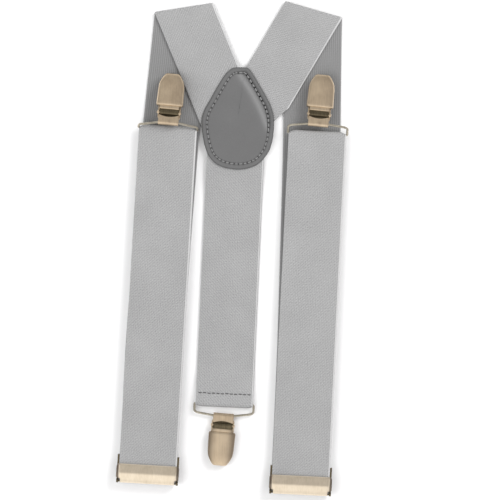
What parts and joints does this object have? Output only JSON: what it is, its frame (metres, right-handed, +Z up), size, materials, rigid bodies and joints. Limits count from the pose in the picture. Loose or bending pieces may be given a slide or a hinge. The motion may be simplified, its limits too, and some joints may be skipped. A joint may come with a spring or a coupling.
{
  "type": "suspenders",
  "caption": "Clip-on elastic braces in a Y shape, lying folded flat: straps joined at a leather patch, slide adjusters with flip levers, and spring clips on wire rings.",
  "frame": {"origin": "on the table under the middle of the folded braces' bounding box", "axes": "+Z up from the table, +Y from the adjusters towards the top folds, +X to the right seen from above with the top folds away from the viewer"},
  "size_m": [0.1435, 0.3059, 0.0136],
  "materials": {
    "webbing": "ribbed twill elastic, matt",
    "leather": "smooth, semi-matt",
    "thread": "polyester sewing thread",
    "antique_brass": "satin, brushed lengthwise",
    "ring_wire": "polished wire",
    "grip_pad": "matt"
  },
  "bodies": {
    "webbing": {"back_strap": "webbing", "left_shoulder_strap": "webbing", "right_shoulder_strap": "webbing", "left_front_ply": "webbing", "right_front_ply": "webbing", "left_return_ply": "webbing", "right_return_ply": "webbing", "patch_front": "leather", "patch_back": "leather", "patch_stitching": "thread", "back_hem_stitching": "thread"},
    "left_adjuster": {"left_adjuster_frame": "antique_brass", "left_adjuster_pin": "antique_brass", "left_hem_loop": "webbing"},
    "left_lever": {"left_adjuster_lever": "antique_brass"},
    "right_adjuster": {"right_adjuster_frame": "antique_brass", "right_adjuster_pin": "antique_brass", "right_hem_loop": "webbing"},
    "right_lever": {"right_adjuster_lever": "antique_brass"},
    "left_ring": {"left_ring": "ring_wire"},
    "left_clip": {"left_clip_base": "antique_brass", "left_clip_pin": "antique_brass", "left_clip_base_pad": "grip_pad"},
    "left_lid": {"left_clip_lid": "antique_brass"},
    "left_jaw": {"left_clip_jaw": "antique_brass", "left_clip_jaw_pad": "grip_pad"},
    "right_ring": {"right_ring": "ring_wire"},
    "right_clip": {"right_clip_base": "antique_brass", "right_clip_pin": "antique_brass", "right_clip_base_pad": "grip_pad"},
    "right_lid": {"right_clip_lid": "antique_brass"},
    "right_jaw": {"right_clip_jaw": "antique_brass", "right_clip_jaw_pad": "grip_pad"},
    "back_ring": {"back_ring": "ring_wire"},
    "back_clip": {"back_clip_base": "antique_brass", "back_clip_pin": "antique_brass", "back_clip_base_pad": "grip_pad"},
    "back_lid": {"back_clip_lid": "antique_brass"},
    "back_jaw": {"back_clip_jaw": "antique_brass", "back_clip_jaw_pad": "grip_pad"}
  },
  "joints": [
    {"name": "left_adjuster_slide", "type": "slide", "parent": "webbing", "child": "left_adjuster", "axis": [0.0593, 0.9982, 0], "range_m": [0, 0.15], "deforming": ["left_return_ply"]},
    {"name": "left_lever_flip", "type": "hinge", "parent": "left_adjuster", "child": "left_lever", "pos_m": [-0.05285, -0.14402, 0.008], "axis": [0.9982, -0.0593, 0], "range_deg": [0, 80]},
    {"name": "right_adjuster_slide", "type": "slide", "parent": "webbing", "child": "right_adjuster", "axis": [0.0488, 0.9988, 0], "range_m": [0, 0.15], "deforming": ["right_return_ply"]},
    {"name": "right_lever_flip", "type": "hinge", "parent": "right_adjuster", "child": "right_lever", "pos_m": [0.04157, -0.15074, 0.008], "axis": [0.9988, -0.0488, 0], "range_deg": [0, 80]},
    {"name": "left_ring_swing", "type": "hinge", "parent": "webbing", "child": "left_ring", "pos_m": [-0.0399, 0.074, 0.0048], "axis": [0.9982, -0.0593, 0], "range_deg": [0, 45]},
    {"name": "left_clip_swing", "type": "hinge", "parent": "left_ring", "child": "left_clip", "pos_m": [-0.03968, 0.07769, 0.01121], "axis": [0.9982, -0.0593, 0], "range_deg": [0, 70]},
    {"name": "left_lid_flip", "type": "hinge", "parent": "left_clip", "child": "left_lid", "pos_m": [-0.03914, 0.08362, 0.01178], "axis": [0.9958, -0.0916, 0.0069], "range_deg": [0, 80]},
    {"name": "left_jaw_open", "type": "hinge", "parent": "left_clip", "child": "left_jaw", "pos_m": [-0.03949, 0.07975, 0.01036], "axis": [0.9958, -0.0916, 0.0069], "range_deg": [0, 7.5]},
    {"name": "right_ring_swing", "type": "hinge", "parent": "webbing", "child": "right_ring", "pos_m": [0.0524, 0.0708, 0.0048], "axis": [0.9988, -0.0488, 0], "range_deg": [0, 45]},
    {"name": "right_clip_swing", "type": "hinge", "parent": "right_ring", "child": "right_clip", "pos_m": [0.0527, 0.07685, 0.00904], "axis": [0.9988, -0.0488, 0], "range_deg": [0, 70]},
    {"name": "right_lid_flip", "type": "hinge", "parent": "right_clip", "child": "right_lid", "pos_m": [0.05327, 0.08272, 0.01003], "axis": [0.9951, -0.0988, 0.007], "range_deg": [0, 80]},
    {"name": "right_jaw_open", "type": "hinge", "parent": "right_clip", "child": "right_jaw", "pos_m": [0.05291, 0.07897, 0.00834], "axis": [0.9951, -0.0988, 0.007], "range_deg": [0, 7.5]},
    {"name": "back_ring_swing", "type": "hinge", "parent": "webbing", "child": "back_ring", "pos_m": [-0.0053, -0.0961, 0.002], "axis": [-0.999, 0.0448, 0], "range_deg": [0, 35]},
    {"name": "back_clip_swing", "type": "hinge", "parent": "back_ring", "child": "back_clip", "pos_m": [-0.00563, -0.10349, 0.002], "axis": [-0.999, 0.0448, 0], "range_deg": [0, 70]},
    {"name": "back_lid_flip", "type": "hinge", "parent": "back_clip", "child": "back_lid", "pos_m": [-0.00613, -0.10919, 0.00375], "axis": [-0.9962, 0.0866, 0.0004], "range_deg": [0, 80]},
    {"name": "back_jaw_open", "type": "hinge", "parent": "back_clip", "child": "back_jaw", "pos_m": [-0.00582, -0.10568, 0.00158], "axis": [-0.9962, 0.0866, 0.0004], "range_deg": [0, 7.5]}
  ],
  "couplings": [
    {"joint": "left_jaw_open", "follows": "left_lid_flip", "ratio": 0.09},
    {"joint": "right_jaw_open", "follows": "right_lid_flip", "ratio": 0.09},
    {"joint": "back_jaw_open", "follows": "back_lid_flip", "ratio": 0.09}
  ]
}
